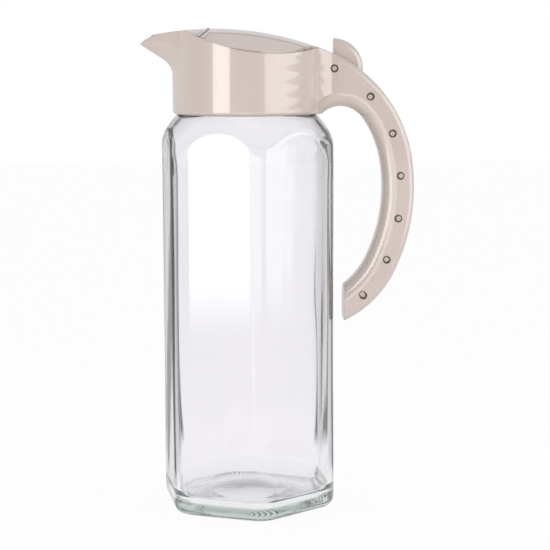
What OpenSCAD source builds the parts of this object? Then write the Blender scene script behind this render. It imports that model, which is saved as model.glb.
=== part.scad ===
// Glass pitcher with a screw-on pouring head.
// The origin is on the jug's axis at the table. +Z is up, the spout points to -X and the handle to +X.

/* [Jug] */
// Width of the glass across two opposite flat sides
jug_flats = 98; // [94:0.5:102]
// Radius of the six upright corners
jug_corner_r = 11; // [10:0.5:13]
// Thickness of the glass wall
glass_wall = 3; // [2.6:0.1:3.4]
// Radius of the rounded edge round the base
jug_base_r = 7; // [5:0.5:7.5]
// Height of the inside floor above the table, at its edge
floor_h = 8; // [7:0.5:9]
// Radius of the push-up under the base
pushup_r = 34; // [28:1:36]
// Height of the push-up at its centre
pushup_h = 5; // [3:0.5:6]
// Height at which the shoulder starts to curve in
shoulder_z = 205; // [190:1:206]
// Radius of the shoulder's curve
shoulder_r = 46; // [42:0.5:46]
// Outer radius of the neck
neck_r = 38; // [36:0.5:38]
// Height of the glass rim
rim_z = 264; // [262:0.5:265]
// Angle by which the glass stands turned under the head
jug_turn = 9; // [0:1:60]

/* [Thread] */
// Rise of the thread in one turn
thread_lead = 6; // [5.6:0.2:7]
// Turns of the ridge on the glass
glass_turns = 1.5; // [1.25:0.25:1.75]
// Turns of the ridge in the collar
collar_turns = 1.1; // [0.8:0.1:1.2]
// Depth of the ridge on the glass
thread_depth = 2; // [1.6:0.1:2.2]
// Width of each ridge at its foot
thread_foot = 2.6; // [2:0.1:2.6]
// Width of each ridge at its top
thread_top = 1.2; // [0.8:0.1:1.4]
// Height of the lower end of the glass ridge
thread_z = 246; // [245:0.5:248]

/* [Head] */
// Outer radius of the collar
collar_r = 44.2; // [43.6:0.1:45]
// Height of the collar's lower edge
collar_z = 238; // [237.8:0.1:239]
// Rounding of the collar's lower edge
collar_edge_r = 2.4; // [1.5:0.1:2.6]
// Thickness of the seal between rim and head
seal_t = 2; // [1.6:0.1:2.4]
// Thickness of the seat above the seal
seat_t = 2.4; // [2:0.1:3]
// Lowest height of the collar's wavy top edge
edge_low_z = 273.8; // [273:0.1:275]
// Radius of the dip in the collar's top edge
edge_dip_r = 105; // [95:1:120]

/* [Lid] */
// Height of the lid's crest
crest_z = 288.5; // [287:0.1:290]
// Radius of the crest seen from the side
crest_r = 179.5; // [170:0.5:190]
// Radius of the lid's crown seen from the spout
crown_r = 100; // [90:1:120]
// Half width of the crowned band between the side facets
band_half = 22; // [18:0.5:26]
// Slope of the side facets in degrees
facet_slope = 25; // [20:0.5:27]
// Thickness of the lid and the flap
lid_t = 2.2; // [1.8:0.1:2.6]
// Radius of the thumb tab about its pin
tab_r = 17.8; // [16:0.1:19]
// Thickness of the lever and the thumb tab
tab_w = 8.6; // [7:0.2:10]

/* [Handle] */
// Depth of the grip from its inner to its outer side
grip_depth = 18.75; // [17:0.25:20]
// Width of the grip
grip_w = 22; // [21:0.5:24]
// Radius of the handle's top bend
bend_top_r = 82; // [78:1:86]
// Radius of the grip's middle bend
bend_mid_r = 116; // [108:1:125]
// Radius of the grip's lower bend
bend_low_r = 63; // [58:1:68]
// Distance from the jug's axis to the flat end of the grip
grip_end_x = 58.3; // [57.5:0.1:60]
// Distance between neighbouring pegs along the grip
peg_pitch = 25.8; // [25:0.1:26.5]

/* [Hidden] */
$fn = 96;
plastic = [0.83, 0.77, 0.745];
// one overrun for every cut
over = 1;
// gap between pieces that move past each other
gap = 0.4;
// gap between pieces that rest on each other
rest_gap = 0.3;
// radial play of a pin in its bore
pin_play = 0.05;

// the jug's shoulder and neck
corner_tip = (jug_flats / 2 - jug_corner_r) / cos(30) + jug_corner_r;
shoulder_clear = 0.4;
shoulder_reach = corner_tip + shoulder_clear;
shoulder_x = shoulder_reach - shoulder_r;
bore_r = neck_r - glass_wall;
corner_steps = 8;

// the collar and its thread
collar_bore_r = neck_r + thread_depth + gap;
thread_play = 0.5;
thread_step = 12;
thread_root = 0.3;
thread_start_share = 0.08;
mouth_flare = 1.6;
collar_mouth_r = collar_bore_r + mouth_flare;
collar_mouth_h = 2.6;
seat_z = rim_z + seal_t;
seat_top_z = seat_z + seat_t;
seat_lip = 2;
seat_open_r = bore_r - seat_lip;
seal_lip_in = 0.8;
seal_in_r = bore_r - seal_lip_in;
seal_lip_out = 1.2;
seal_out_r = neck_r + seal_lip_out;

// the wavy top edge of the collar and the ledge that the lid rests on
edge_low_x = 16;
ledge_wall = 2.4;
ledge_r = collar_r - ledge_wall;
lid_seam = 0.6;
lid_r = ledge_r - lid_seam;
ledge_foot = 1;
upper_bore_r = collar_bore_r - ledge_foot;
lid_back_shift = 0.9;

// the crest's centre, and the bends of the handle, each as [centre x, centre z, radius]
crest_x = -19.5;
roof_turn = 26;
facet_turn = 6;
turn_top = 22.5;
turn_mid = 80.4;
turn_low = 116.1;
turn_end = 170;
bend_0 = [crest_x, crest_z - crest_r, crest_r];
bend_1 = next_bend(bend_0, bend_top_r, turn_top);
bend_2 = next_bend(bend_1, bend_mid_r, turn_mid);
bend_3 = next_bend(bend_2, bend_low_r, turn_low);
function next_bend(b, r, turn) =
    [b[0] + (b[2] - r) * sin(turn), b[1] + (b[2] - r) * cos(turn), r];

// the grip's section and hollow
grip_edge_r = 3.2;
grip_inner_r = 8;
grip_wall = 2.6;
root_start = 12;
cover_start = 45;
cover_gap = 0.1;
hollow_start = 54;
root_deep = 50;
// each stretch of the handle is finer than the one before it by this much
seam_step = 0.03;

// the round top of the finger gap
gap_top_x = 56;
gap_top_z = 226.9;
gap_top_r = 15.5;
side_fillet_r = 14;
fillet_bite = 0.15;

// the pegs, along a line inside the outer side
peg_depth = 8;
peg_r = 1.35;
peg_count = 6;
peg_first = 48.5;
peg_boss_r = 3.8;
mark_r = 2.1;
mark_depth = 0.9;
peg_blind = 3;
dimple_r = 0.35;

// the lever's pivot
pivot_x = 51.9;
pivot_z = 264.9;
hub_r = 5.2;
tab_back = -20;
tab_swing = 38;
slot_play = 4;
slot_end = tab_back - tab_swing - slot_play;
tab_edge_r = 3.4;
arm_x = 36;
arm_low_z = 270.2;
lid_tail_r = 16.3;

// the spout: a beak drawn out of the collar, hollow below, with a nose that curves down
tip_reach = 63.9;
beak_foot_z = 260.4;
beak_under_r = 12;
beak_under_turn = 57.4;
beak_half_turn = 27;
beak_nose_turn = 2.2;
beak_wall = 2.2;
beak_wall_turn = 3.3;
beak_steps = 14;
beak_soft = 1.8;
beak_taper_share = 1.8;
beak_layers = 22;
nose_x = -50.9;
nose_r = 25;
nose_lift = 0.15;
edge_top_drop = 0.3;

// the flap, its curved slit and its hinge
slit_x = -24.2;
slit_arc_r = 79;
slit = 0.4;
strip_w = 2.1;
strip_lift = 0.3;
groove_w = 0.5;
groove_depth = 0.7;
flap_pin_r = 0.6;
knuckle_r = 1.25;
knuckle_half = 3.4;
knuckle_end = 7.5;
knuckle_gap = 0.3;
tongue_low_z = 281;
flap_swing_gap = 0.8;

// a rounded hexagon with flat sides to the left and right, its corners in short straight steps
module stepped_hex(flats, corner) {
    reach = (flats / 2 - corner) / cos(30);
    polygon([for (k = [0:5], j = [0:corner_steps])
        let (a = 30 + 60 * k, b = a - 30 + 60 * j / corner_steps)
        [reach * cos(a) + corner * cos(b), reach * sin(a) + corner * sin(b)]]);
}

// an upright hexagonal block whose lower edge is rounded all the way round
module soft_foot_hex(flats, corner, edge, height) {
    reach = (flats / 2 - corner) / cos(30);
    hull()
        for (k = [0:5]) rotate(30 + 60 * k) {
            translate([reach, 0, edge]) rotate_extrude($fn = 6 * corner_steps) intersection() {
                translate([corner - edge, 0]) circle(edge, $fn = 4 * corner_steps);
                translate([0, -edge]) square([corner, edge]);
            }
            translate([reach, 0, height - edge]) cylinder(r = corner, h = edge, $fn = 6 * corner_steps);
        }
}

// half of the section of the shoulder and the neck, set in by a wall
module shoulder_section(wall, top) {
    translate([0, -over]) square([shoulder_reach - wall, shoulder_z + over]);
    intersection() {
        translate([shoulder_x, shoulder_z]) circle(shoulder_r - wall);
        square([shoulder_reach + over, top]);
    }
    square([neck_r - wall, top]);
}

// half of the section of the rim's rounded lip
module lip_section() {
    lip_r = glass_wall / 2;
    translate([neck_r - lip_r, rim_z - lip_r]) circle(lip_r);
    translate([bore_r, rim_z - glass_wall]) square([glass_wall, lip_r]);
}

// one raised thread ridge: rings of four points along a helix, sunk a little into its wall
module thread_ridge(wall_r, depth, turns, z0) {
    steps = ceil(turns * 360 / thread_step);
    sunk_r = wall_r - sign(depth) * thread_root;
    top_r = wall_r + depth;
    points = [for (i = [0:steps])
        let (a = i * turns * 360 / steps, z = z0 + thread_lead * a / 360,
             ease = max(thread_start_share, min(1, min(i, steps - i) / 2)),
             r = sunk_r + (top_r - sunk_r) * ease)
        each [[sunk_r * cos(a), sunk_r * sin(a), z - thread_foot / 2],
              [r * cos(a), r * sin(a), z - thread_top / 2],
              [r * cos(a), r * sin(a), z + thread_top / 2],
              [sunk_r * cos(a), sunk_r * sin(a), z + thread_foot / 2]]];
    side = depth > 0 ? [3, 2, 1, 0] : [0, 1, 2, 3];
    faces = concat([[side[0], side[1], side[2], side[3]]],
        [for (i = [0:steps - 1], k = [0:3])
            each let (a = 4 * i + side[k], b = 4 * i + side[(k + 1) % 4])
                [[a, a + 4, b + 4], [a, b + 4, b]]],
        [[for (k = [3:-1:0]) 4 * steps + side[k]]]);
    polyhedron(points, faces);
}

module glass_jug() {
    color([0.86, 0.9, 0.9, 0.4])
    rotate(jug_turn) {
        rotate_extrude() lip_section();
        difference() {
            intersection() {
                soft_foot_hex(jug_flats, jug_corner_r, jug_base_r, rim_z);
                rotate_extrude() shoulder_section(0, rim_z - glass_wall);
            }
            difference() {
                intersection() {
                    translate([0, 0, floor_h]) linear_extrude(rim_z)
                        stepped_hex(jug_flats - 2 * glass_wall, jug_corner_r - glass_wall);
                    rotate_extrude() shoulder_section(glass_wall, rim_z + over);
                }
                pushup_dome(floor_h);
            }
            pushup_dome(0);
        }
        thread_ridge(neck_r, thread_depth, glass_turns, thread_z);
    }
}

// the round rise of the base: the same dome below and above the glass
module pushup_dome(lift) {
    ball_r = (pushup_r * pushup_r + pushup_h * pushup_h) / (2 * pushup_h);
    intersection() {
        translate([0, 0, lift + pushup_h - ball_r]) rotate([90, 0, 0]) sphere(ball_r);
        translate([0, 0, lift - over]) cylinder(r = pushup_r + over, h = pushup_h + 2 * over);
    }
}

module neck_seal() {
    color([0.9, 0.89, 0.87])
    difference() {
        translate([0, 0, rim_z]) cylinder(r = seal_out_r, h = seal_t);
        translate([0, 0, rim_z - over]) cylinder(r = seal_in_r, h = seal_t + 2 * over);
    }
}

// sweeps a section, drawn as [radius, side], about a bend's centre from turn t0 to turn t1
module along_bend(bend, t0, t1) {
    translate([bend[0], 0, bend[1]]) rotate([90, 0, 0]) rotate(90 - t1)
        rotate_extrude(angle = t1 - t0) children();
}

// the grip's section: round inner side, flat flanks and a small outer edge
module grip_section(r, depth, inset) {
    out = r - inset;
    in = r - depth + inset;
    half = grip_w / 2 - inset;
    edge = grip_edge_r - inset / 2;
    inner = grip_inner_r - inset / 2;
    polygon([[in, inner - half], [in + inner, -half], [out - edge, -half], [out, edge - half],
             [out, half - edge], [out - edge, half], [in + inner, half], [in, half - inner]]);
    for (s = [-1, 1]) {
        translate([out - edge, s * (half - edge)]) circle(edge);
        translate([in + inner, s * (half - inner)]) circle(inner);
    }
}

// the part of the grip's section on one side of its middle: -1 is the far side, 0 is both
module grip_half(r, inset, side) {
    intersection() {
        grip_section(r, grip_depth, inset);
        translate([0, side > 0 ? 0 : -grip_w]) square([r + over, side == 0 ? 2 * grip_w : grip_w]);
    }
}

// one half of the grip from a turn to its flat end
module grip_shell(start, inset, side) {
    difference() {
        union() {
            along_bend(bend_1, start, turn_mid) grip_half(bend_1[2], inset + seam_step, side);
            along_bend(bend_2, turn_mid - over, turn_low) grip_half(bend_2[2], inset + 2 * seam_step, side);
            along_bend(bend_3, turn_low - over, turn_end) grip_half(bend_3[2], inset + 3 * seam_step, side);
        }
        translate([grip_end_x + inset - collar_r, -grip_w, 0])
            cube([collar_r, 2 * grip_w, collar_z]);
    }
}

// places of the pegs, at an even pitch along the bends
function peg_turn(s) =
    let (r1 = bend_1[2] - peg_depth, r2 = bend_2[2] - peg_depth, r3 = bend_3[2] - peg_depth,
         s1 = (turn_mid - peg_first) * r1 * PI / 180, s2 = s1 + (turn_low - turn_mid) * r2 * PI / 180)
    s < s1 ? [bend_1, r1, peg_first + s / r1 * 180 / PI]
    : s < s2 ? [bend_2, r2, turn_mid + (s - s1) / r2 * 180 / PI]
    : [bend_3, r3, turn_low + (s - s2) / r3 * 180 / PI];
function peg_place(k) =
    let (p = peg_turn(k * peg_pitch)) [p[0][0] + p[1] * sin(p[2]), p[0][1] + p[1] * cos(p[2])];

module at_pegs() {
    for (k = [0:peg_count - 1])
        translate([peg_place(k)[0], 0, peg_place(k)[1]]) rotate([90, 0, 0]) children();
}

module handle_cover() {
    color(plastic)
    difference() {
        union() {
            difference() {
                grip_shell(cover_start, 0, -1);
                grip_shell(hollow_start, grip_wall, 0);
            }
            intersection() {
                grip_shell(cover_start, grip_wall / 2, -1);
                at_pegs() translate([0, 0, -grip_w / 2]) cylinder(r = peg_boss_r, h = grip_w / 2);
            }
        }
        at_pegs() translate([0, 0, peg_blind - grip_w / 2])
            cylinder(r = peg_r + pin_play, h = grip_w);
    }
}

module handle_pegs() {
    color(plastic)
    at_pegs() peg(grip_w - peg_blind - rest_gap);
}

// a peg that ends level with the near flank, with a dimple in its end
module peg(length) {
    translate([0, 0, grip_w / 2 - length]) difference() {
        cylinder(r = peg_r, h = length);
        translate([0, 0, length - dimple_r]) cylinder(r = dimple_r, h = over);
    }
}

module lever_pin() {
    color(plastic)
    translate([pivot_x, 0, pivot_z]) rotate([90, 0, 0]) peg(grip_w - peg_blind - rest_gap);
}

// a block below the collar's wavy edge, and the arc over the spout
module below_edge() {
    difference() {
        translate([bend_0[0], 0, bend_0[1]]) rotate([90, 0, 0])
            cylinder(r = crest_r - edge_top_drop, h = 4 * collar_r, center = true);
        translate([edge_low_x, 0, edge_low_z + edge_dip_r]) rotate([90, 0, 0])
            cylinder(r = edge_dip_r, h = 4 * collar_r + over, center = true);
    }
}

// how far the beak's underside reaches at a height: a hollow curve, a slope and the tip
function under_reach(z) =
    let (rise = max(z - beak_foot_z, 0), bend = beak_under_r * sin(beak_under_turn))
    rise < bend ? collar_r + beak_under_r - sqrt(beak_under_r * beak_under_r - rise * rise)
    : collar_r + beak_under_r * (1 - cos(beak_under_turn)) + (rise - bend) * tan(beak_under_turn);
function soft_least(a, b, soft) =
    let (h = max(0, min(1, (b - a) / soft / 2 + 1 / 2)))
    b + (a - b) * h - soft * h * (1 - h);
function beak_reach(z) = soft_least(under_reach(z), tip_reach, beak_soft);

// the beak's outline at one height, as turns and radii about the jug's axis, from side to side
function beak_turn(j) = beak_half_turn * sign(j) * pow(abs(j) / beak_steps, 3 / 2);
function beak_share(turn, shift) =
    let (t = sqrt(turn * turn + beak_nose_turn * beak_nose_turn) - beak_nose_turn)
    pow(max(0, 1 - (t + shift) / beak_half_turn), beak_taper_share);
function beak_outline(base, reach, shift, inset) =
    [for (j = [beak_steps:-1:-beak_steps])
        let (t = beak_turn(j), r = base + (reach - base) * beak_share(t, shift) - inset)
        [-r * cos(t), r * sin(t)]];

// the beak as a stack of outlines: its outer skin, or the channel inside it
module beak(base, shift, rise, low_z, top_z) {
    rows = [for (i = [0:beak_layers])
        let (z = low_z + (top_z - low_z) * i / beak_layers)
        concat(beak_outline(base, beak_reach(z - rise), shift, fillet_bite), [[-collar_r / 2, 0]])];
    count = len(rows[0]);
    points = [for (i = [0:beak_layers]) let (z = low_z + (top_z - low_z) * i / beak_layers)
        each [for (p = rows[i]) [p[0], p[1], z]]];
    faces = concat(
        [for (k = [0:count - 3]) [count - 1, k, k + 1]],
        [for (i = [0:beak_layers - 1], k = [0:count - 1])
            each let (a = i * count + k, b = i * count + (k + 1) % count)
                [[a, a + count, b + count], [a, b + count, b]]],
        [for (k = [0:count - 3]) [beak_layers * count + count - 1, beak_layers * count + k + 1,
                                  beak_layers * count + k]]);
    polyhedron(points, faces);
}

// what stays below the curve of the beak's nose
module below_nose() {
    turn = asin((crest_x - nose_x) / (crest_r - edge_top_drop));
    drop = crest_r - edge_top_drop - nose_r;
    translate([crest_x - drop * sin(turn), 0, bend_0[1] + drop * cos(turn) + nose_lift])
        rotate([90, 0, 0]) cylinder(r = nose_r, h = 2 * collar_r, center = true);
    translate([nose_x, -collar_r - over, collar_z - over])
        cube([2 * collar_r - nose_x, 2 * (collar_r + over), crest_z - collar_z + 2 * over]);
}

// the collar's outer wall with its rounded lower edge
module collar_outer() {
    translate([0, 0, collar_z]) rotate_extrude() {
        translate([0, collar_edge_r]) square([collar_r, crest_z - collar_z]);
        square([collar_r - collar_edge_r, collar_edge_r]);
        translate([collar_r - collar_edge_r, collar_edge_r]) circle(collar_edge_r);
    }
}

// the handle's root: the bends drawn deep, above the finger gap, with its lower edges rounded
module handle_root() {
    difference() {
        intersection() {
            union() {
                along_bend(bend_0, root_start, turn_top) root_section(bend_0[2]);
                along_bend(bend_1, turn_top - over, hollow_start + over) root_section(bend_1[2] - seam_step / 2);
            }
            translate([0, -grip_w, collar_z]) cube([2 * collar_r, 2 * grip_w, crest_z - collar_z]);
        }
        finger_gap_top(0);
        finger_gap_edge();
        mirror([0, 1, 0]) finger_gap_edge();
    }
}

module root_section(r) {
    half = grip_w / 2;
    translate([r - root_deep, -half]) square([root_deep - grip_edge_r, grip_w]);
    translate([r - root_deep, grip_edge_r - half]) square([root_deep, grip_w - 2 * grip_edge_r]);
    for (s = [-1, 1])
        translate([r - grip_edge_r, s * (half - grip_edge_r)]) circle(grip_edge_r);
}

module finger_gap_top(grow) {
    translate([gap_top_x, 0, gap_top_z]) rotate([90, 0, 0])
        cylinder(r = gap_top_r + grow, h = 4 * grip_w, center = true);
}

// what is cut away to round one lower edge along the gap's top
module finger_gap_edge() {
    translate([gap_top_x, 0, gap_top_z]) rotate([90, 0, 0]) rotate_extrude()
        difference() {
            translate([gap_top_r - over, grip_w / 2 - grip_inner_r])
                square([grip_inner_r + over, grip_inner_r + over]);
            translate([gap_top_r + grip_inner_r, grip_w / 2 - grip_inner_r]) circle(grip_inner_r);
        }
}

// the hollow fillets where the handle's flanks leave the collar
module side_fillets() {
    reach = collar_r + side_fillet_r - fillet_bite;
    side = grip_w / 2 + side_fillet_r - fillet_bite;
    foot = sqrt(reach * reach - side * side);
    difference() {
        intersection() {
            translate([0, 0, collar_z + collar_edge_r])
                linear_extrude(crest_z - collar_z) difference() {
                    polygon([[0, 0], [foot, 0], [foot, grip_w / 2 - fillet_bite / 2],
                             [foot * (collar_r - over) / reach, side * (collar_r - over) / reach]]);
                    translate([foot, side]) circle(side_fillet_r);
                }
            below_edge();
        }
        finger_gap_top(grip_inner_r);
    }
}

// the slot for the lever, open to the top and to the space under the lid
module lever_slot() {
    reach = tab_r + gap + rest_gap;
    wide = tab_w + 2 * gap;
    floor_z = seat_top_z + rest_gap;
    translate([0, wide / 2, 0]) rotate([90, 0, 0]) linear_extrude(wide) {
        translate([pivot_x, pivot_z]) {
            circle(hub_r + gap);
            intersection() {
                circle(reach);
                polygon([[0, 0], 2 * reach * [cos(slot_end), sin(slot_end)],
                         [2 * reach, 0], [2 * reach, 2 * reach], [0, 2 * reach]]);
            }
        }
        polygon([[pivot_x, pivot_z], [pivot_x - hub_r, pivot_z], [pivot_x - 2 * hub_r, floor_z],
                 [arm_x, floor_z], [arm_x, crest_z], [pivot_x, crest_z]]);
    }
}

module head() {
    color(plastic)
    difference() {
        union() {
            intersection() {
                union() {
                    collar_outer();
                    intersection() {
                        beak(collar_r, 0, 0, beak_foot_z, crest_z);
                        below_nose();
                    }
                }
                below_edge();
            }
            side_fillets();
            mirror([0, 1, 0]) side_fillets();
            handle_root();
            difference() {
                grip_shell(hollow_start - over, 0, 1);
                grip_shell(hollow_start, grip_wall, 0);
            }
            intersection() {
                grip_shell(hollow_start, grip_wall / 2, 1);
                at_pegs() cylinder(r = peg_boss_r, h = grip_w / 2);
            }
        }
        // the cover's seat beside the root
        grip_shell(cover_start - cover_gap, -over, -1);
        // the screw collar, its flared mouth, the pouring hole in the seat and the space above it
        translate([0, 0, collar_z - over]) cylinder(r = collar_bore_r, h = seat_z - collar_z + over);
        translate([0, 0, collar_z - over]) cylinder(r = collar_mouth_r, h = collar_mouth_h + over);
        translate([0, 0, seat_z - over]) cylinder(r = seat_open_r, h = seat_t + 2 * over);
        translate([0, 0, seat_top_z]) cylinder(r = upper_bore_r, h = crest_z - seat_z);
        beak(upper_bore_r, beak_wall_turn, beak_wall / cos(beak_under_turn / 2), seat_top_z, crest_z + over);
        // the ledge that the lid and the flap rest on
        difference() {
            translate([0, 0, seat_top_z]) cylinder(r = ledge_r, h = crest_z - seat_z);
            roof(lid_t + rest_gap);
        }
        lever_slot();
        // the pin and peg holes, and the rings sunk round their ends
        translate([pivot_x, 0, pivot_z]) rotate([90, 0, 0]) marked_hole();
        at_pegs() marked_hole();
    }
    color(plastic) translate([0, 0, -thread_lead / 2])
        rotate(jug_turn) thread_ridge(collar_bore_r, thread_play - thread_depth - gap,
                                      collar_turns, thread_z);
}

module marked_hole() {
    translate([0, 0, peg_blind - grip_w / 2]) cylinder(r = peg_r + pin_play, h = grip_w);
    translate([0, 0, grip_w / 2 - mark_depth]) cylinder(r = mark_r, h = mark_depth + over);
}

// the solid under the lid's surface, set in by off: a crown with a facet down each side
module roof(off) {
    difference() {
        along_bend(bend_0, -roof_turn, roof_turn) intersection() {
            translate([crest_r - crown_r, 0]) circle(crown_r - off);
            translate([crest_r - crown_r, -collar_r]) square([crown_r, 2 * collar_r]);
        }
        facet_cut(off);
        mirror([0, 1, 0]) facet_cut(off);
    }
}

// what lies above one side facet, behind a border along the slit
module facet_cut(off) {
    drop = crown_r - sqrt(crown_r * crown_r - band_half * band_half);
    shift = off / cos(facet_slope);
    run = collar_r - band_half;
    difference() {
        along_bend(bend_0, -facet_turn, roof_turn)
            translate([crest_r - drop - shift, band_half])
                polygon([[over * tan(facet_slope), -over], [2 * over + off, -over], [2 * over + off, run + over],
                         [-(run + over) * tan(facet_slope), run + over]]);
        translate([slit_x - slit_arc_r, 0, edge_low_z - crown_r / 4])
            cylinder(r = slit_arc_r + slit + strip_w + groove_w + strip_w, h = crown_r);
    }
}

module lid() {
    rib_r = slit_arc_r + slit;
    color(plastic)
    difference() {
        union() {
            intersection() {
                difference() {
                    union() {
                        roof(0);
                        lid_strip(rib_r, rib_r + strip_w);
                    }
                    roof(lid_t);
                }
                difference() {
                    lid_plan();
                    slit_cylinder(rib_r);
                }
            }
            lever();
            flap_knuckles(knuckle_half + knuckle_gap, knuckle_end);
        }
        // the second slit: a groove behind the strip
        difference() {
            intersection() {
                slit_cylinder(rib_r + strip_w + groove_w);
                lid_plan();
            }
            slit_cylinder(rib_r + strip_w);
            roof(groove_depth);
        }
        // the tail clears the collar as it swings up
        tail_cut(tab_w / 2, collar_r);
        tail_cut(-collar_r, -tab_w / 2);
        flap_knuckle_room(-knuckle_half - knuckle_gap, knuckle_half + knuckle_gap);
        flap_hole(knuckle_end);
        translate([pivot_x, 0, pivot_z]) rotate([90, 0, 0])
            cylinder(r = peg_r + 2 * pin_play, h = 2 * tab_w, center = true);
    }
}

// the outline of lid and flap inside the ledge, pulled in at the back
module lid_plan(inset = 0) {
    intersection() {
        translate([0, 0, seat_top_z]) cylinder(r = lid_r - inset, h = crest_z - seat_z);
        translate([-lid_back_shift, 0, seat_top_z]) cylinder(r = lid_r - inset, h = crest_z - seat_z);
    }
}

module slit_cylinder(r) {
    translate([slit_x - slit_arc_r, 0, seat_top_z - over]) cylinder(r = r, h = crest_z - seat_z + 2 * over);
}

// the raised strip between the two slits
module lid_strip(r0, r1) {
    intersection() {
        translate([0, 0, strip_lift]) roof(0);
        difference() {
            slit_cylinder(r1);
            slit_cylinder(r0);
        }
    }
}

module tail_cut(y0, y1) {
    translate([pivot_x, y1, pivot_z]) rotate([90, 0, 0]) cylinder(r = lid_tail_r, h = y1 - y0);
}

// the arm under the lid, its hub on the pin and the quarter-round thumb tab
module lever() {
    arm_t = 2 * lid_t;
    difference() {
        union() {
            translate([0, tab_w / 2, 0]) rotate([90, 0, 0]) linear_extrude(tab_w) {
                translate([pivot_x, pivot_z]) circle(hub_r);
                polygon([[pivot_x, pivot_z], [pivot_x - hub_r, pivot_z + 2 * gap],
                         [pivot_x - 2 * hub_r, arm_low_z], [arm_x, arm_low_z], [arm_x, arm_low_z + arm_t],
                         [pivot_x - 2 * hub_r, arm_low_z + arm_t + lid_t], [pivot_x, pivot_z + hub_r]]);
            }
            translate([pivot_x, 0, pivot_z]) rotate([90, 0, 0]) rotate(tab_back)
                rotate_extrude(angle = 90 - tab_back) tab_section();
            intersection() {
                translate([arm_x - arm_t, -tab_w / 2, arm_low_z])
                    cube([pivot_x - arm_x - hub_r, tab_w, crest_z - arm_low_z]);
                roof(0);
                lid_plan();
            }
        }
        translate([-collar_r, -collar_r, crest_z]) cube([2 * collar_r, 2 * collar_r, over]);
    }
}

// the tab's section from the pin to its rounded rim
module tab_section() {
    half = tab_w / 2;
    translate([0, -half]) square([tab_r - tab_edge_r, tab_w]);
    translate([0, tab_edge_r - half]) square([tab_r, tab_w - 2 * tab_edge_r]);
    for (s = [-1, 1])
        translate([tab_r - tab_edge_r, s * (half - tab_edge_r)]) circle(tab_edge_r);
}

// the axis of the flap's hinge, inside the strip at the crest
function knuckle_x() = slit_x + slit + strip_w / 2;
function knuckle_z() = crest_z - knuckle_r + strip_lift;

module on_flap_axis() {
    translate([knuckle_x(), 0, knuckle_z()]) rotate([90, 0, 0]) children();
}

module flap_knuckles(y0, y1) {
    for (s = [-1, 1])
        on_flap_axis() translate([0, 0, s > 0 ? y0 : -y1]) cylinder(r = knuckle_r, h = y1 - y0);
}

module flap_knuckle_room(y0, y1) {
    room = knuckle_r + rest_gap;
    on_flap_axis() translate([0, 0, y0]) cylinder(r = room, h = y1 - y0);
    translate([slit_x, y0, knuckle_z() - room])
        cube([slit + strip_w + groove_w / 2, y1 - y0, 2 * room]);
}

module flap_hole(reach) {
    on_flap_axis() cylinder(r = flap_pin_r + pin_play, h = 2 * reach + 2 * over, center = true);
}

module spout_flap() {
    color(plastic)
    difference() {
        union() {
            intersection() {
                difference() {
                    roof(0);
                    roof(lid_t);
                }
                intersection() {
                    slit_cylinder(slit_arc_r);
                    union() {
                        lid_plan(flap_swing_gap);
                        flap_tongue();
                    }
                }
            }
            intersection() {
                on_flap_axis() cylinder(r = knuckle_r, h = 2 * knuckle_half, center = true);
                translate([0, 0, seat_z]) cylinder(r = collar_r, h = crest_z);
            }
            translate([slit_x - strip_w, -knuckle_half, knuckle_z() - knuckle_r])
                cube([strip_w + slit, 2 * knuckle_half, knuckle_r]);
        }
        for (s = [-1, 1])
            on_flap_axis() translate([0, 0, s > 0 ? knuckle_half : -knuckle_end - knuckle_gap])
                cylinder(r = knuckle_r + rest_gap, h = knuckle_end + knuckle_gap - knuckle_half);
        flap_hole(knuckle_half);
    }
}

// the flap's tongue, which fills the beak to near its tip
module flap_tongue() {
    reach = beak_reach(tongue_low_z - beak_wall / cos(beak_under_turn / 2));
    translate([0, 0, seat_top_z]) linear_extrude(crest_z - seat_z)
        polygon(concat(beak_outline(upper_bore_r, reach, beak_wall_turn, fillet_bite + 2 * gap), [[0, 0]]));
}

module flap_pin() {
    color([0.7, 0.7, 0.7])
    on_flap_axis() cylinder(r = flap_pin_r, h = 2 * knuckle_end - rest_gap, center = true);
}

glass_jug();
neck_seal();
head();
handle_cover();
handle_pegs();
lever_pin();
lid();
spout_flap();
flap_pin();
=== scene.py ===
"""A six-sided glass pitcher with a screw-on plastic pouring head, a flip-up lid and a curved handle.

Everything is in metres, in the frame of the CAD model: the jug's axis is Z, the table is Z = 0,
the spout points to -X and the handle to +X.
"""
import math

import bpy
import numpy as np
from mathutils import Matrix, Vector


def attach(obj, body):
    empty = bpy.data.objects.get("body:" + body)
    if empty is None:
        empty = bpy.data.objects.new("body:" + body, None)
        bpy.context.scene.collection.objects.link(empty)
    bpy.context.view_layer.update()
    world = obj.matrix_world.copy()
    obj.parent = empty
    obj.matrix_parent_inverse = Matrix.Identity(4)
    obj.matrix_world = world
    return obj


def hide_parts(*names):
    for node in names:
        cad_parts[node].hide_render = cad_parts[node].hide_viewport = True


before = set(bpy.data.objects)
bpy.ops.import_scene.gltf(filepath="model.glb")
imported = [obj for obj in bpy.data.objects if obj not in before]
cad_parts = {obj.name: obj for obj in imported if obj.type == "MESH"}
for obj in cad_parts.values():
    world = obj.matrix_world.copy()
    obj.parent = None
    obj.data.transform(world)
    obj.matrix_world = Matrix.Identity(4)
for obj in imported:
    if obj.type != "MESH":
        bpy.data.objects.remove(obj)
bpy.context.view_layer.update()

# The camera stands a metre in front of the pitcher, at the height of its lid.
# It is tilted down at the jug's middle, and rolled by a hair as in the photograph.
MM = 0.001
camera_place = Vector((-16.8, -959.2, 276.5)) * MM
camera_turn = math.radians(-2.0)
camera_pitch = math.radians(8.085)
camera_roll = math.radians(0.185)
camera_lens_mm = 104.23
camera_sensor_mm = 36.0
camera_clip = 10 * MM

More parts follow.
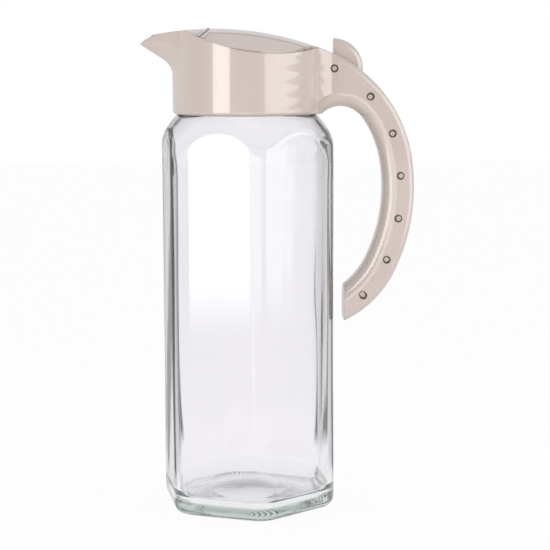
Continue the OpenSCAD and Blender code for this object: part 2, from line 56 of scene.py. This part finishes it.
ahead = Vector((-math.sin(camera_turn) * math.cos(camera_pitch),
                math.cos(camera_turn) * math.cos(camera_pitch), -math.sin(camera_pitch)))
right = ahead.cross(Vector((0, 0, 1))).normalized()
upward = right.cross(ahead)
right, upward = (right * math.cos(camera_roll) - upward * math.sin(camera_roll),
                 upward * math.cos(camera_roll) + right * math.sin(camera_roll))
bpy.ops.object.camera_add(location=camera_place)
camera = bpy.context.object
camera.name = "studio_camera"
camera.rotation_euler = Matrix((right, upward, -ahead)).transposed().to_euler()
camera.data.lens = camera_lens_mm
camera.data.sensor_width = camera_sensor_mm
camera.data.clip_start = camera_clip
bpy.context.scene.camera = camera

# The studio: a white floor, a white backdrop and four soft boxes at the front, just above the table.
# The surround is white to the camera and through the glass, and dimmer as a source of light.
# A black flag on either side of the backdrop draws the dark lines along the edges of the glass.
white = (1, 1, 1, 1)
floor_white = (0.9, 0.9, 0.9, 1)
floor_size = 6.0
floor_drop = 0.2 * MM
floor_glow_to_camera = 0.94
floor_glow_to_glass = 0.9
under_glass = 60 * MM
under_glass_fade = 15 * MM
fill_light = 0.76
front_gloom = 0.2
back_gloss = 0.74
back_from = -0.1
back_full = 0.5
inner_gloom = 0.2
flag_black = 0.03
flag_near = 19.0
flag_far = 37.0
flag_soft = 4.0
flag_start = 0.15
flag_fade = 0.05
soft_box_matt_share = 0.3
soft_box_spread = 0.55
soft_box_foot = 0.02
soft_box_top = 0.56
soft_box_fade = 0.05
low_box_top = 0.19
near_box_spread = 0.15
near_box_top = 0.15
tooth_foot = -0.072
tooth_top = -0.018
tooth_fade = 0.004
tooth_pitch = 12.27 * MM
tooth_depth = 0.34
tooth_inset = 0.03
low_part = -0.09
low_part_fade = 0.01
low_part_inset = 0.157
toothed_edge_fade = 0.012


class Value:
    """An output of a shader node that can be written in sums: each operator adds its Math node."""

    def __init__(self, tree, socket=None):
        self.tree = tree
        self.socket = socket

    def node(self, kind, output=0, settings=(), **inputs):
        """Adds a node, sets its settings and then its sockets, and returns one of its outputs.

        A socket is given by its name, with _ for a space, or by its number after an i.
        """
        made = self.tree.nodes.new(kind)
        for name, setting in dict(settings).items():
            setattr(made, name, setting)
        for name, given in inputs.items():
            key = int(name[1:]) if name[0] == "i" and name[1:].isdigit() else name.replace("_", " ")
            if isinstance(given, Value):
                self.tree.links.new(given.socket, made.inputs[key])
            else:
                made.inputs[key].default_value = given
        return Value(self.tree, made.outputs[output] if made.outputs else None)

    def output(self, key):
        """Another output of the node that this value comes from."""
        return Value(self.tree, self.socket.node.outputs[key])

    def combine(self, operation, *operands):
        inputs = {f"i{place}": operand for place, operand in enumerate(operands)}
        return self.node("ShaderNodeMath", settings={"operation": operation}, **inputs)

    def maths(self, operation, *others):
        """This value, and others after it, put through a Math node."""
        return self.combine(operation, self, *others)

    def vector_maths(self, operation, other, output="Vector"):
        """This vector and another one put through a Vector Math node."""
        return self.node("ShaderNodeVectorMath", output, {"operation": operation}, i0=self, i1=other)

    def __add__(self, other):
        return self.maths("ADD", other)

    def __sub__(self, other):
        return self.maths("SUBTRACT", other)

    def __mul__(self, other):
        return self.maths("MULTIPLY", other)

    def __truediv__(self, other):
        return self.maths("DIVIDE", other)

    def __rsub__(self, other):
        return self.combine("SUBTRACT", other, self)

    def __rtruediv__(self, other):
        return self.combine("DIVIDE", other, self)

    __radd__ = __add__
    __rmul__ = __mul__

    def step(self, low, high):
        """0 below low, 1 above high, and a straight ramp between them."""
        return self.node("ShaderNodeMapRange", "Result", {"clamp": True},
                         Value=self, From_Min=low, From_Max=high)

    def at_least(self, count):
        """1 where a whole number, such as a count of bounces, reaches this one, and 0 elsewhere."""
        return self.step(count - 0.6, count - 0.4)

    def mix(self, low, high):
        """The colour low where this value is 0, and high where it is 1."""
        return self.node("ShaderNodeMix", 2, {"data_type": "RGBA"}, i0=self, i6=low, i7=high)


def start(tree):
    """A hand on an empty node tree, for its first nodes."""
    tree.nodes.clear()
    return Value(tree)


def new_material(name):
    """A new material, and a hand on its empty node tree."""
    material = bpy.data.materials.new(name)
    material.use_nodes = True
    return material, start(material.node_tree)


def flagged(across, away):
    """1 where a direction or a place on the floor lies behind a flag beside the backdrop."""
    turn = across.maths("ABSOLUTE").maths("ARCTAN2", away) * (180 / math.pi)
    return turn.step(flag_near, flag_near + flag_soft) * (1 - turn.step(flag_far - flag_soft, flag_far))


world = bpy.data.worlds.new("studio_surround")
bpy.context.scene.world = world
world.use_nodes = True
sky = start(world.node_tree)
path = sky.node("ShaderNodeLightPath")
toward = sky.node("ShaderNodeSeparateXYZ", Vector=sky.node("ShaderNodeTexCoord", "Generated"))
flag = flagged(toward.output("X"), toward.output("Y"))
behind = toward.output("Y").step(back_from, back_full)
to_camera = path.output("Is Camera Ray")
to_glass = path.output("Is Transmission Ray")
to_gloss = path.output("Is Glossy Ray") * (1 - to_glass)
turned_back = path.output("Glossy Depth").at_least(1)
entered = path.output("Transmission Depth").at_least(1)
in_glass = (1 - flag * (1 - flag_black)) * (1 - turned_back * inner_gloom)
in_gloss = behind * (back_gloss + entered * (1 - back_gloss) - front_gloom) + front_gloom
in_gloss = in_gloss * (1 - flag * entered * (1 - flag_black))
brightness = to_camera + (1 - to_camera) * (
    to_glass * in_glass + to_gloss * in_gloss + (1 - to_glass - to_gloss) * fill_light)
surround = sky.node("ShaderNodeBackground", Color=white, Strength=brightness)
sky.node("ShaderNodeOutputWorld", Surface=surround)

bpy.ops.mesh.primitive_plane_add(size=floor_size, location=(0, 0, -floor_drop))
floor = bpy.context.object
floor.name = "studio_floor"
floor_paint, paint = new_material("floor_paint")
path = paint.node("ShaderNodeLightPath")
spot = paint.node("ShaderNodeSeparateXYZ", Vector=paint.node("ShaderNodeTexCoord", "Object"))
across = spot.output("X")
away = spot.output("Y")
far = (across * across + away * away).maths("SQRT")
shadowed = flagged(across, away) * far.step(flag_start, flag_start + flag_fade)
beneath = path.output("Is Glossy Ray") * (1 - far.step(under_glass, under_glass + under_glass_fade))
to_camera = path.output("Is Camera Ray")
to_glass = path.output("Is Transmission Ray").maths("MAXIMUM", beneath)
tone = (shadowed * to_glass).mix(white, (flag_black, flag_black, flag_black, 1))
matt = paint.node("ShaderNodeBsdfDiffuse", Color=floor_white)
glow = paint.node("ShaderNodeEmission", Color=tone, Strength=1.0)
glowing = to_camera * floor_glow_to_camera + to_glass * (1 - to_camera) * floor_glow_to_glass
both = paint.node("ShaderNodeMixShader", i0=glowing, i1=matt, i2=glow)
paint.node("ShaderNodeOutputMaterial", Surface=both)
floor.data.materials.append(floor_paint)


def soft_box(name, from_turn, to_turn, top, glow, spread=soft_box_spread, toothed=False):
    """A glowing cloth that stands in front of the pitcher between two compass turns."""
    middle = math.radians((from_turn + to_turn) / 2)
    half = math.tan(math.radians((to_turn - from_turn) / 2)) * spread
    height = top - soft_box_foot
    bpy.ops.mesh.primitive_plane_add(size=1)
    cloth = bpy.context.object
    cloth.name = name
    cloth.scale = (2 * half, height, 1)
    bpy.ops.object.transform_apply(location=False, rotation=False, scale=True)
    cloth.rotation_euler = (math.radians(90), 0, middle + math.radians(90))
    cloth.location = (spread * math.cos(middle), spread * math.sin(middle), soft_box_foot + height / 2)
    glowing_cloth, weave = new_material(name + "_cloth")
    spot = weave.node("ShaderNodeSeparateXYZ", Vector=weave.node("ShaderNodeTexCoord", "Object"))
    side = spot.output("X")
    up = spot.output("Y")
    lit = up.step(-height / 2, -height / 2 + soft_box_fade)
    if toothed:
        wave = (up * (2 / tooth_pitch)).maths("PINGPONG", 1.0)
        teeth = up.step(tooth_foot, tooth_foot + tooth_fade) * (
            1 - up.step(tooth_top - tooth_fade, tooth_top))
        low = 1 - up.step(low_part, low_part + low_part_fade)
        edge = half - (wave * tooth_depth + tooth_inset) * teeth - low * low_part_inset
        lit = lit * (1 - (side - edge).step(0.0, toothed_edge_fade))
    seen = weave.node("ShaderNodeLightPath", "Is Glossy Ray")
    lit = lit * (seen + (1 - seen) * soft_box_matt_share)
    clear = weave.node("ShaderNodeBsdfTransparent", Color=white)
    lamp = weave.node("ShaderNodeEmission", Color=white, Strength=glow)
    both = weave.node("ShaderNodeMixShader", i0=lit, i1=clear, i2=lamp)
    weave.node("ShaderNodeOutputMaterial", Surface=both)
    cloth.data.materials.append(glowing_cloth)
    cloth.visible_camera = False
    cloth.visible_transmission = False
    cloth.visible_shadow = False


soft_box("soft_box_left", from_turn=-142, to_turn=-116, top=soft_box_top, glow=5.4)
soft_box("soft_box_right", from_turn=-64, to_turn=0, top=soft_box_top, glow=2.9, toothed=True)
soft_box("soft_box_low", from_turn=-117, to_turn=-79.5, top=low_box_top, glow=2.8)
soft_box("soft_box_edge", from_turn=-104, to_turn=-96.5, top=near_box_top, glow=2.2, spread=near_box_spread)

# The jug: pressed and blown clear glass, six flat sides with rounded corners, an arched shoulder,
# a rounded foot with a push-up, and a round neck with one raised screw thread.
# One closed skin runs from the push-up up the outside, over the rim and down the inside.
jug_turn = math.radians(9.3)
jug_apothem = 49 * MM
jug_corner = 20 * MM
base_corner = 16 * MM
corner_blend_from = 8 * MM
corner_blend_over = 80 * MM
jug_wall = 3 * MM
foot_round = 6 * MM
foot_first_turn = 10
shoulder_inset = 9.3 * MM
shoulder_height = 205 * MM
shoulder_round = 46 * MM
side_slack = 0.2
side_foot = foot_round + 6 * MM
side_top = shoulder_height - 8 * MM
shoulder_foot = shoulder_height - 6 * MM
neck_radius = 38 * MM
rim_height = 264 * MM
lip_round = 1.5 * MM
lip_gap = 0.5 * MM
inner_neck_top = rim_height - 3 * MM
floor_height = 6.5 * MM
floor_rise = 10 * MM
floor_apothem = 37 * MM
floor_corner = 9 * MM
floor_last_turn = 84
inner_side_foot = floor_height + floor_rise + 5 * MM
inner_corner = 16 * MM
pushup_radius = 34 * MM
pushup_height = 5 * MM
arch_softness = 1.2 * MM
slump_depth = 0.35 * MM
slump_wave = 31 * MM
slump_fade = 60 * MM
thread_base = 246 * MM
thread_room = 2 * MM
thread_lead = 6 * MM
thread_turns = 1.5
thread_depth = 2 * MM
thread_half_width = 1.3 * MM
thread_flank = 0.6 * MM
thread_end_turn = 1 / 12
weld_gap = 0.001 * MM
jug_columns = 300
pushup_rows = 16
base_rows = 8
foot_rows = 11
side_rows = 24
shoulder_rows = 100
lip_rows = 9
inner_shoulder_rows = 56
inner_side_rows = 40
inner_foot_rows = 15
inner_pushup_rows = 17
clear_tint = (0.985, 0.97, 0.995, 1)
# The near-black green of the painted shade along the glass's edges.
edge_shade = (0.06, 0.085, 0.075, 1)
edge_from = 0.88
edge_full = 0.985
trapped_share = 0.55
trapped_foot = 18 * MM
trapped_full = 30 * MM
foot_clear_below = 14 * MM
foot_clear_above = 24 * MM
lost_after_bounces = 3
glass_shadow = (0.93, 0.94, 0.94, 1)
glass_body = (0.60, 0.70, 0.655, 1)
glass_density = 12.0
streak_scale = 38.0
streak_stretch = (1, 1, 0.3)
streak_relief = 0.55
seed_scale = 120.0
seed_core = 0.03
seed_edge = 0.08
seed_relief = 0.12
knurl_ridges = 120
knurl_foot = 1.2 * MM
knurl_top = 3.0 * MM
knurl_relief = 0.8
relief_depth = 0.5 * MM


def moulded_grid(name, columns, rows, place):
    """A flat grid whose points are moved onto a form: place(column, row) gives them as arrays."""
    bpy.ops.object.select_all(action="DESELECT")
    bpy.ops.mesh.primitive_grid_add(x_subdivisions=columns, y_subdivisions=rows, size=2)
    piece = bpy.context.object
    piece.name = name
    points = np.zeros(len(piece.data.vertices) * 3)
    piece.data.vertices.foreach_get("co", points)
    points = points.reshape(-1, 3)
    column = np.rint((points[:, 0] + 1) / 2 * columns).astype(int)
    row = np.rint((points[:, 1] + 1) / 2 * rows).astype(int)
    x, y, z = place(column, row)
    piece.data.vertices.foreach_set("co", np.column_stack([x, y, z]).ravel())
    piece.data.update()
    bpy.ops.object.mode_set(mode="EDIT")
    bpy.ops.mesh.select_all(action="SELECT")
    bpy.ops.mesh.remove_doubles(threshold=weld_gap)
    bpy.ops.mesh.normals_make_consistent(inside=False)
    bpy.ops.object.mode_set(mode="OBJECT")
    return piece


def hexagon_radius(angle, apothem, corner):
    """Distance from the axis to a rounded hexagon, whose flats face 0, 60, 120 degrees and so on."""
    fold = np.abs((angle + math.pi / 6) % (math.pi / 3) - math.pi / 6)
    reach = (apothem - corner) / math.cos(math.pi / 6)
    flat = apothem / np.cos(fold)
    away = math.pi / 6 - fold
    inside = np.maximum(corner ** 2 - (reach * np.sin(away)) ** 2, 0)
    tip = reach * np.cos(away) + np.sqrt(inside)
    turning = np.arctan2(reach * math.sin(math.pi / 6), apothem)
    return np.where(fold < turning, flat, tip)


def soft_least(a, b, softness):
    """The lesser of two radii, with the crease between them rounded."""
    blend = np.clip(0.5 + 0.5 * (b - a) / softness, 0, 1)
    return b + (a - b) * blend - softness * blend * (1 - blend) * 0.5


def shoulder_radius(z, inset):
    """The shoulder's and the neck's radius at a height, set in by the wall."""
    rise = np.clip(z - shoulder_height, 0, shoulder_round - inset)
    arc = shoulder_inset + np.sqrt(np.maximum((shoulder_round - inset) ** 2 - rise ** 2, 0))
    below = shoulder_inset + shoulder_round - inset + (shoulder_height - z) * side_slack
    arc = np.where(z <= shoulder_height, below, arc)
    return np.maximum(arc, neck_radius - inset)


def jug_profile():
    """Rows of the skin, each a kind, a height and a spread, from the push-up out, up, over and in."""
    rows = []
    dome = (pushup_radius ** 2 + pushup_height ** 2) / (2 * pushup_height)

    def domed(radius):
        return pushup_height - dome + math.sqrt(dome ** 2 - radius ** 2)

    for share in np.linspace(0, 1, pushup_rows):
        rows.append(("round", domed(share * pushup_radius), share * pushup_radius))
    for share in np.linspace(0.1, 1, base_rows):
        rows.append(("base", 0.0, share))
    for turn in np.linspace(foot_first_turn, 90, foot_rows):
        rows.append(("foot", foot_round * (1 - math.cos(math.radians(turn))),
                     foot_round * (1 - math.sin(math.radians(turn)))))
    for z in np.linspace(side_foot, side_top, side_rows):
        rows.append(("outer", z, 0))
    for z in np.linspace(shoulder_foot, rim_height - lip_round - lip_gap, shoulder_rows):
        rows.append(("outer", z, 0))
    for turn in np.linspace(0, 180, lip_rows):
        rows.append(("round", rim_height - lip_round + lip_round * math.sin(math.radians(turn)),
                     neck_radius - lip_round + lip_round * math.cos(math.radians(turn))))
    for z in np.linspace(inner_neck_top, shoulder_foot, inner_shoulder_rows):
        rows.append(("inner", z, 0))
    for z in np.linspace(side_top, inner_side_foot, inner_side_rows):
        rows.append(("inner", z, 0))
    for turn in np.linspace(0, floor_last_turn, inner_foot_rows):
        rows.append(("inner_foot", floor_height + floor_rise * (1 - math.sin(math.radians(turn))),
                     math.cos(math.radians(turn))))
    for share in (1.0, 0.6, 0.3, 0.0):
        rows.append(("inner_base", floor_height, share))
    for share in np.linspace(0.94, 0, inner_pushup_rows):
        rows.append(("round", floor_height + domed(share * pushup_radius), share * pushup_radius))
    return rows


def jug_place(rows):
    """The rule that moves a grid onto the skin that the rows describe."""
    kinds = np.array([r[0] for r in rows])
    heights = np.array([r[1] for r in rows])
    spreads = np.array([r[2] for r in rows])

    def thread_ridge(angle, z):
        """How far the screw thread stands out of the neck."""
        turns = (z - thread_base) / thread_lead - angle / (2 * math.pi)
        near = np.abs(turns - np.rint(turns)) * thread_lead
        lap = np.rint(turns) + angle / (2 * math.pi)
        shown = np.clip(lap / thread_end_turn, 0, 1) * np.clip((thread_turns - lap) / thread_end_turn, 0, 1)
        ridge = thread_depth * np.clip((thread_half_width - near) / thread_flank, 0, 1) * shown
        return np.where(z > thread_base - thread_room, ridge, 0)

    def place(column, row):
        angle = column * (2 * math.pi / jug_columns)
        kind, z, spread = kinds[row], heights[row].copy(), spreads[row]
        radius = np.where(kind == "round", spread, 0.0)
        corner = base_corner + (jug_corner - base_corner) * np.clip(
            (z - corner_blend_from) / corner_blend_over, 0, 1)
        base_hex = hexagon_radius(angle, jug_apothem - foot_round, base_corner - foot_round)
        radius = np.where(kind == "base", pushup_radius + (base_hex - pushup_radius) * spread, radius)
        for inset in sorted(set(spreads[kinds == "foot"])):
            here = (kind == "foot") & (spread == inset)
            radius[here] = hexagon_radius(angle[here], jug_apothem - inset, base_corner - inset)
        body = hexagon_radius(angle, jug_apothem, corner)
        outer = soft_least(body, shoulder_radius(z, 0), arch_softness) + thread_ridge(angle, z)
        radius = np.where(kind == "outer", outer, radius)
        slump = slump_depth * np.sin(z / slump_wave + 2 * np.sin(3 * angle)) * np.sin(2 * angle + 1)
        slump = slump * np.clip((shoulder_height - z) / slump_fade, 0, 1)
        hollow = hexagon_radius(angle, jug_apothem - jug_wall, corner - (jug_corner - inner_corner))
        inner = soft_least(hollow, shoulder_radius(z, jug_wall), 2 * arch_softness) + slump
        radius = np.where(kind == "inner", inner, radius)
        floor_hex = hexagon_radius(angle, floor_apothem, floor_corner)
        radius = np.where(kind == "inner_foot", floor_hex + (hollow + slump - floor_hex) * spread, radius)
        radius = np.where(kind == "inner_base", pushup_radius + (floor_hex - pushup_radius) * spread, radius)
        turned = angle + jug_turn
        return radius * np.cos(turned), radius * np.sin(turned), z

    return place


jug_rows = jug_profile()
jug = moulded_grid("glass_jug_blown", jug_columns, len(jug_rows) - 1, jug_place(jug_rows))
bpy.ops.object.shade_smooth()

clear_glass, glass = new_material("clear_glass")
where = glass.node("ShaderNodeTexCoord", "Object")
parts = glass.node("ShaderNodeSeparateXYZ", Vector=where)
up = parts.output("Z")
drawn = where.vector_maths("MULTIPLY", streak_stretch)
streak = glass.node("ShaderNodeTexNoise", Vector=drawn, Scale=streak_scale, Detail=2.0)
seed = glass.node("ShaderNodeTexVoronoi", "Distance", Vector=where, Scale=seed_scale)
seed = 1 - seed.step(seed_core, seed_edge)
turn = parts.output("Y").maths("ARCTAN2", parts.output("X"))
knurl = (turn * (knurl_ridges / math.pi)).maths("PINGPONG", 1.0) * (1 - up.step(knurl_foot, knurl_top))
relief = streak * streak_relief + seed * seed_relief + knurl * knurl_relief
ripple = glass.node("ShaderNodeBump", Strength=0.5, Distance=relief_depth, Height=relief)
# Painted shade: the glass colour turns a near-black green where its surface is seen edge-on, and part way
# above the foot for rays already reflected inside the glass.
grazed = glass.node("ShaderNodeLayerWeight", "Facing", Blend=0.5).step(edge_from, edge_full)
path = glass.node("ShaderNodeLightPath")
trapped = path.output("Glossy Depth").at_least(1) * up.step(trapped_foot, trapped_full) * trapped_share
glass_colour_with_shade = grazed.maths("MAXIMUM", trapped).mix(clear_tint, edge_shade)
body = glass.node("ShaderNodeBsdfPrincipled", Base_Color=glass_colour_with_shade, Roughness=0.0, IOR=1.5,
                  Transmission_Weight=1.0, Normal=ripple)
clearing = glass.node("ShaderNodeBsdfTransparent", Color=glass_shadow)
lost = path.output("Glossy Depth").at_least(lost_after_bounces) * (
    1 - up.step(foot_clear_below, foot_clear_above))
passing = path.output("Is Shadow Ray").maths("MAXIMUM", lost)
both = glass.node("ShaderNodeMixShader", i0=passing, i1=body, i2=clearing)
depth = glass.node("ShaderNodeVolumeAbsorption", Color=glass_body, Density=glass_density)
glass.node("ShaderNodeOutputMaterial", Surface=both, Volume=depth)
jug.data.materials.clear()
jug.data.materials.append(clear_glass)
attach(jug, "jug")
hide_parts("glass_jug")

# The neck seal: a soft ring of milky silicone, pressed in a mould.
# It is squeezed between the glass rim and the seat inside the head.
milk_white = (0.80, 0.79, 0.76, 1)
bloom_white = (0.87, 0.86, 0.84, 1)
dust_scale = 900.0
bloom_scale = 70.0
pore_depth = 0.2 * MM


def dress(names, finish):
    """Gives CAD nodes a finish through their material slots."""
    for name in names:
        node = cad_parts[name]
        node.data.materials.clear()
        node.data.materials.append(finish)


milky_silicone, rubber = new_material("milky_silicone")
where = rubber.node("ShaderNodeTexCoord", "Object")
dust = rubber.node("ShaderNodeTexNoise", Vector=where, Scale=dust_scale, Detail=3.0)
bloom = rubber.node("ShaderNodeTexNoise", Vector=where, Scale=bloom_scale, Detail=2.0)
pores = rubber.node("ShaderNodeBump", Strength=0.25, Distance=pore_depth, Height=dust)
body = rubber.node("ShaderNodeBsdfPrincipled", Base_Color=bloom.mix(milk_white, bloom_white),
                   Roughness=0.48 + dust * 0.16, Normal=pores)
rubber.node("ShaderNodeOutputMaterial", Surface=body)
dress(["neck_seal"], milky_silicone)

# The head: one moulding of glossy beige plastic with the screw collar, the beak spout and the near half
# of the open-ended handle. It screws onto the glass neck. The dark rings on the grip are painted shade
# in the counterbores round the ends of the pegs and of the lid's pin.
beige = (0.664, 0.566, 0.522, 1)
warm_beige = (0.644, 0.542, 0.494, 1)
# The near-black brown of the painted shade in the counterbores.
counterbore_shade_brown = (0.055, 0.028, 0.021, 1)
ring_places = [(51.9, 264.9), (73.5, 248.3), (86.8, 226.3), (91.7, 201.0), (90.5, 175.3), (83.7, 150.4),
               (69.7, 128.7)]
ring_inner = 1.2 * MM
ring_outer = 2.35 * MM
ring_inner_soft = 0.1 * MM
ring_outer_soft = 0.12 * MM
near_face = -10.5 * MM
near_face_end = -9.5 * MM
cloud_scale = 22.0
grain_scale = 1400.0
swirl_scale = 55.0
moulded_edge = 0.8 * MM
swirl_depth = 0.2 * MM
plastic_roughness = 0.3


def moulded_plastic(name, marks=None, mark_colour=counterbore_shade_brown):
    """Glossy moulded plastic: soft colour clouds, a hint of grain, faint sink ripples, rounded edges."""
    plastic, skin = new_material(name)
    where = skin.node("ShaderNodeTexCoord", "Object")
    cloud = skin.node("ShaderNodeTexNoise", Vector=where, Scale=cloud_scale, Detail=2.0)
    grain = skin.node("ShaderNodeTexNoise", Vector=where, Scale=grain_scale, Detail=2.0)
    swirl = skin.node("ShaderNodeTexNoise", Vector=where, Scale=swirl_scale, Detail=1.0)
    tone = cloud.step(0.3, 0.7).mix(warm_beige, beige)
    # Marks paint shade into the colour: counterbores, creases, slits and seams.
    if marks:
        tone = marks(skin, where).mix(tone, mark_colour)
    edge = skin.node("ShaderNodeBevel", settings={"samples": 6}, Radius=moulded_edge)
    ripple = skin.node("ShaderNodeBump", Strength=0.14, Distance=swirl_depth, Height=swirl + grain * 0.1,
                       Normal=edge)
    body = skin.node("ShaderNodeBsdfPrincipled", Base_Color=tone,
                     Roughness=plastic_roughness + (grain - 0.5) * 0.05, IOR=1.5,
                     Coat_Weight=0.9, Coat_Roughness=0.03, Coat_IOR=1.55, Normal=ripple)
    skin.node("ShaderNodeOutputMaterial", Surface=body)
    return plastic


def counterbore_shade(skin, where):
    """Painted shade: 1 in the counterbore round each peg's end on the near face of the grip."""
    flat = where.vector_maths("MULTIPLY", (1, 0, 1))
    nearest = None
    for x, z in ring_places:
        gap = flat.vector_maths("DISTANCE", (x * MM, 0, z * MM), "Value")
        nearest = gap if nearest is None else gap.maths("MINIMUM", nearest)
    ring = (1 - nearest.step(ring_outer, ring_outer + ring_outer_soft)) * nearest.step(
        ring_inner - ring_inner_soft, ring_inner + ring_inner_soft)
    depth = skin.node("ShaderNodeSeparateXYZ", "Y", Vector=where)
    return ring * (1 - depth.step(near_face, near_face_end))


dress(["head"], moulded_plastic("head_plastic", counterbore_shade))

# The cover: the far half of the hollow grip, moulded in the same plastic.
# Its bosses take the six pegs that hold it to the head's half.
dress(["handle_cover"], moulded_plastic("cover_plastic"))

# The pegs and the lid's pivot pin: plain plastic pins, pressed through both halves of the grip.
# Their ends show in the middle of the ring marks.
dress(["handle_pegs", "lever_pin"], moulded_plastic("peg_plastic"))

# The lid: a domed plate with two sloping sides and a thumb tab, in one piece with the lever inside the grip.
# A line of painted shade follows each crease between its crown and its sides, and the slits at its front are
# painted brown as shade.
painted_shade_brown = (0.30, 0.215, 0.18, 1)
crease_strength = 0.6
crease_from_middle = 21.8 * MM
crease_width = 1.3 * MM
crease_near_soft = 0.3 * MM
crease_far_soft = 0.6 * MM
crease_end = 33 * MM
crease_gone = 38 * MM
slit_places = (-24.4 * MM, -21.5 * MM)
slit_bow = 158 * MM
slit_half = 0.5 * MM
slit_core = 0.3 * MM


def lid_shade_lines(skin, where):
    """Painted shade: 1 along the two creases of the lid and in the slits between the lid and its flap."""
    parts = skin.node("ShaderNodeSeparateXYZ", Vector=where)
    along = parts.output("X")
    across = parts.output("Y")
    out = across.maths("ABSOLUTE")
    crease_rim = crease_from_middle + crease_width
    crease = out.step(crease_from_middle, crease_from_middle + crease_near_soft) * (
        1 - out.step(crease_rim, crease_rim + crease_far_soft))
    lines = crease * (1 - along.step(crease_end, crease_gone)) * crease_strength
    bowed = along + across * across / slit_bow
    for place in slit_places:
        off = (bowed - place).maths("ABSOLUTE")
        lines = lines.maths("MAXIMUM", 1 - off.step(slit_core, slit_half))
    return lines


dress(["lid"], moulded_plastic("lid_plastic", lid_shade_lines, painted_shade_brown))

# The flap's pin: a thin steel wire, brushed along its length.
# It is pushed through the knuckles of the lid and of the flap, in the strip between the slits.
dark_steel = (0.58, 0.58, 0.59, 1)
light_steel = (0.7, 0.7, 0.71, 1)
draw_stretch = (1, 0.03, 1)
draw_scale = 4000.0
draw_depth = 0.1 * MM

pin_metal, wire = new_material("pin_metal")
along = wire.node("ShaderNodeTexCoord", "Object").vector_maths("MULTIPLY", draw_stretch)
draw = wire.node("ShaderNodeTexNoise", Vector=along, Scale=draw_scale, Detail=2.0)
groove = wire.node("ShaderNodeBump", Strength=0.2, Distance=draw_depth, Height=draw)
body = wire.node("ShaderNodeBsdfPrincipled", Base_Color=draw.mix(dark_steel, light_steel),
                 Metallic=1.0, Roughness=0.24 + draw * 0.14, Normal=groove)
wire.node("ShaderNodeOutputMaterial", Surface=body)
dress(["flap_pin"], pin_metal)

# The spout flap: the front of the lid, which swings up by itself on its pin when the jug is tipped.
# It is moulded in the plastic of the lid. Painted shade darkens its round edge, as the seam where it meets
# the head's rim.
flap_seam_from = 39.5 * MM
flap_seam_soft = 0.3 * MM


def flap_shade_lines(skin, where):
    """The lid's painted shade lines, and 1 along the flap's round edge for the painted shade of its seam."""
    flat = where.vector_maths("MULTIPLY", (1, 1, 0))
    reach = flat.vector_maths("DISTANCE", (0, 0, 0), "Value")
    seam = reach.step(flap_seam_from, flap_seam_from + flap_seam_soft)
    return lid_shade_lines(skin, where).maths("MAXIMUM", seam)


dress(["spout_flap"], moulded_plastic("flap_plastic", flap_shade_lines, painted_shade_brown))

# The end: plain colours.
bpy.context.scene.view_settings.view_transform = "Standard"
